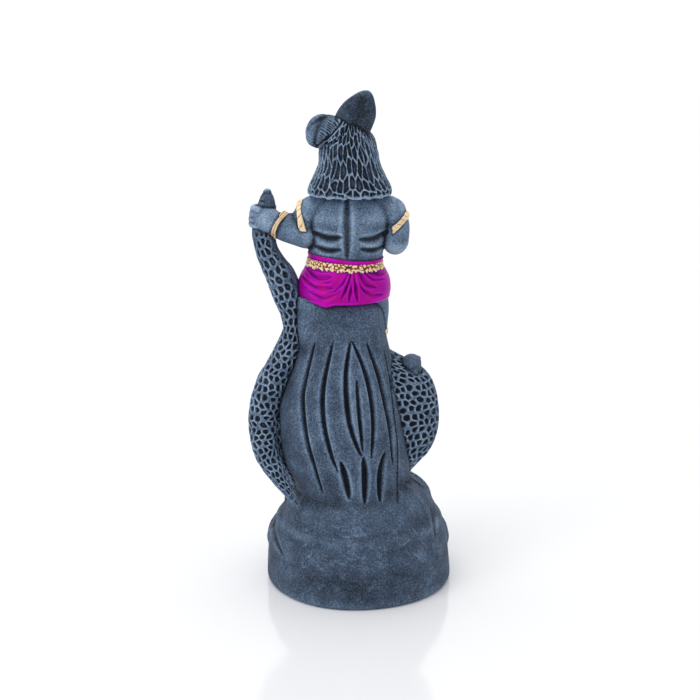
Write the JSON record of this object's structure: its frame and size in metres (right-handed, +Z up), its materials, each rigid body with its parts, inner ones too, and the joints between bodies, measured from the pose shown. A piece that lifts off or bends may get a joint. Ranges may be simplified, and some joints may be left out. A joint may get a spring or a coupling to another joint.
{
  "type": "golu doll figure",
  "caption": "Painted cast figure of a dancing child on a serpent's raised hood, holding its tail, on a low mound; for display standing on a step or shelf.",
  "frame": {"origin": "centre of the flat underside that the doll rests on", "axes": "+Z up through the figure; the child faces -Y and its fluted back support faces +Y; +X is on the child's left, the side of the raised tail"},
  "size_m": [0.0931, 0.0862, 0.229],
  "materials": {
    "stone_grey_paint": "satin",
    "magenta_paint": "gloss",
    "gold_paint": "gloss"
  },
  "bodies": {
    "root": {"doll": "stone_grey_paint"}
  },
  "joints": []
}
